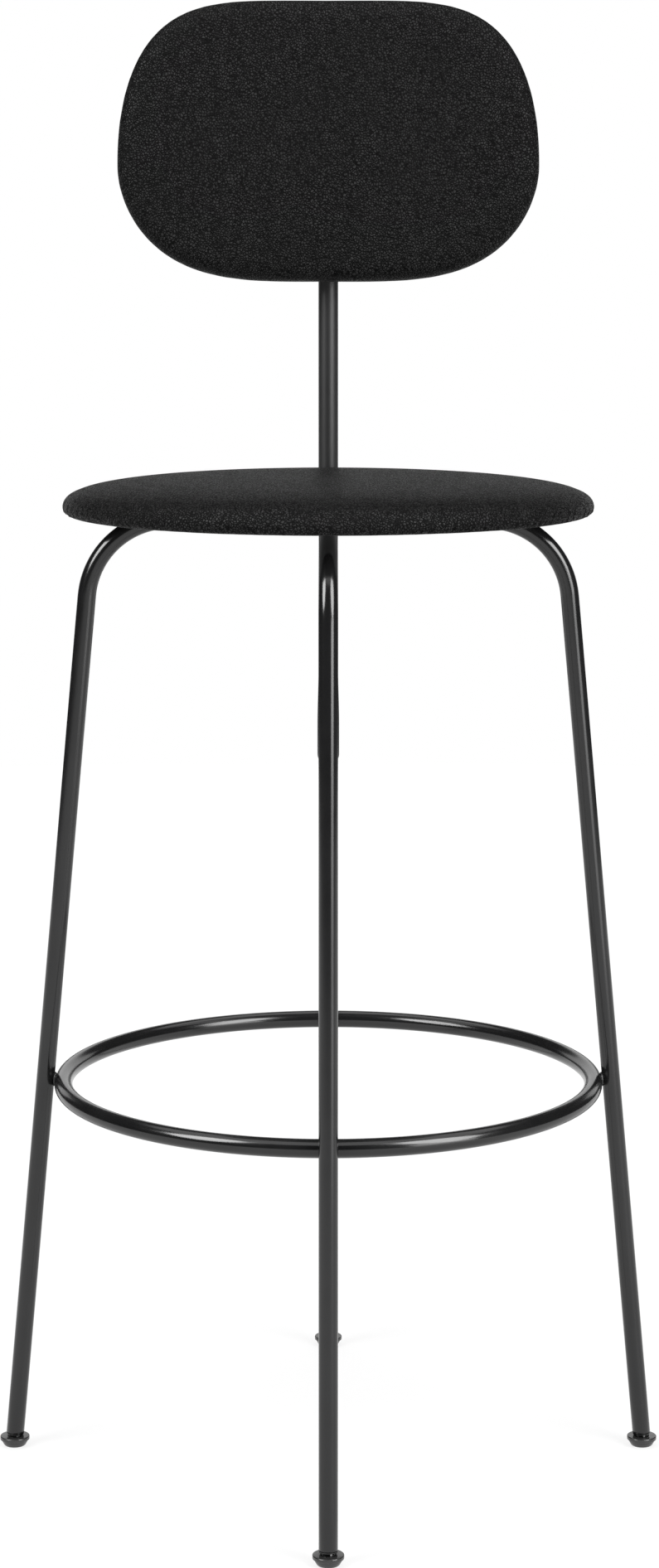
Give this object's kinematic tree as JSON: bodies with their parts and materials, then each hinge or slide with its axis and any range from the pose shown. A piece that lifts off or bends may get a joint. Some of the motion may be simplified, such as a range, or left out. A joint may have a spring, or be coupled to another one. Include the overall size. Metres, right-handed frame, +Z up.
{
  "type": "bar stool",
  "caption": "Slim bar stool with a round padded seat, a padded backrest on one post, splayed bent-tube legs, a ring footrest and tilting glides.",
  "frame": {"origin": "centre of the footprint on the floor", "axes": "+Z up, the sitter faces -Y, +X to the sitter's left"},
  "size_m": [0.5194, 0.5194, 1.1306],
  "materials": {
    "frame_paint": "satin",
    "leather": "satin",
    "foam": "matte",
    "plywood": "matte",
    "fixings": "satin",
    "nylon": "satin",
    "lining": "matte"
  },
  "bodies": {
    "frame": {"backrest_foam": "foam", "backrest_front_cover": "leather", "backrest_nut_1": "fixings", "backrest_nut_2": "fixings", "backrest_nut_3": "fixings", "backrest_nut_4": "fixings", "backrest_plate": "frame_paint", "backrest_post": "frame_paint", "backrest_rear_cover": "leather", "backrest_screw_1": "fixings", "backrest_screw_2": "fixings", "backrest_screw_3": "fixings", "backrest_screw_4": "fixings", "backrest_shell": "plywood", "footrest_ring": "frame_paint", "glide_plug_front": "nylon", "glide_plug_left": "nylon", "glide_plug_rear": "nylon", "glide_plug_right": "nylon", "leg_front": "frame_paint", "leg_hub": "frame_paint", "leg_left": "frame_paint", "leg_rear": "frame_paint", "leg_right": "frame_paint", "post_cap": "nylon", "post_stay": "frame_paint", "seat_board": "plywood", "seat_cover": "leather", "seat_foam": "foam", "seat_lining": "lining", "seat_nut_front": "fixings", "seat_nut_left": "fixings", "seat_nut_rear": "fixings", "seat_nut_right": "fixings", "seat_screw_front": "fixings", "seat_screw_left": "fixings", "seat_screw_rear": "fixings", "seat_screw_right": "fixings"},
    "foot_right": {"glide_right": "nylon"},
    "foot_rear": {"glide_rear": "nylon"},
    "foot_left": {"glide_left": "nylon"},
    "foot_front": {"glide_front": "nylon"}
  },
  "joints": [
    {"name": "glide_tilt_right", "type": "hinge", "parent": "frame", "child": "foot_right", "pos_m": [0.24833, 0, 0.007], "axis": [0, 1, 0], "range_deg": [-15, 4]},
    {"name": "glide_tilt_rear", "type": "hinge", "parent": "frame", "child": "foot_rear", "pos_m": [0, 0.24833, 0.007], "axis": [-1, 0, 0], "range_deg": [-15, 4]},
    {"name": "glide_tilt_left", "type": "hinge", "parent": "frame", "child": "foot_left", "pos_m": [-0.24833, 0, 0.007], "axis": [0, -1, 0], "range_deg": [-15, 4]},
    {"name": "glide_tilt_front", "type": "hinge", "parent": "frame", "child": "foot_front", "pos_m": [0, -0.24833, 0.007], "axis": [1, 0, 0], "range_deg": [-15, 4]}
  ]
}
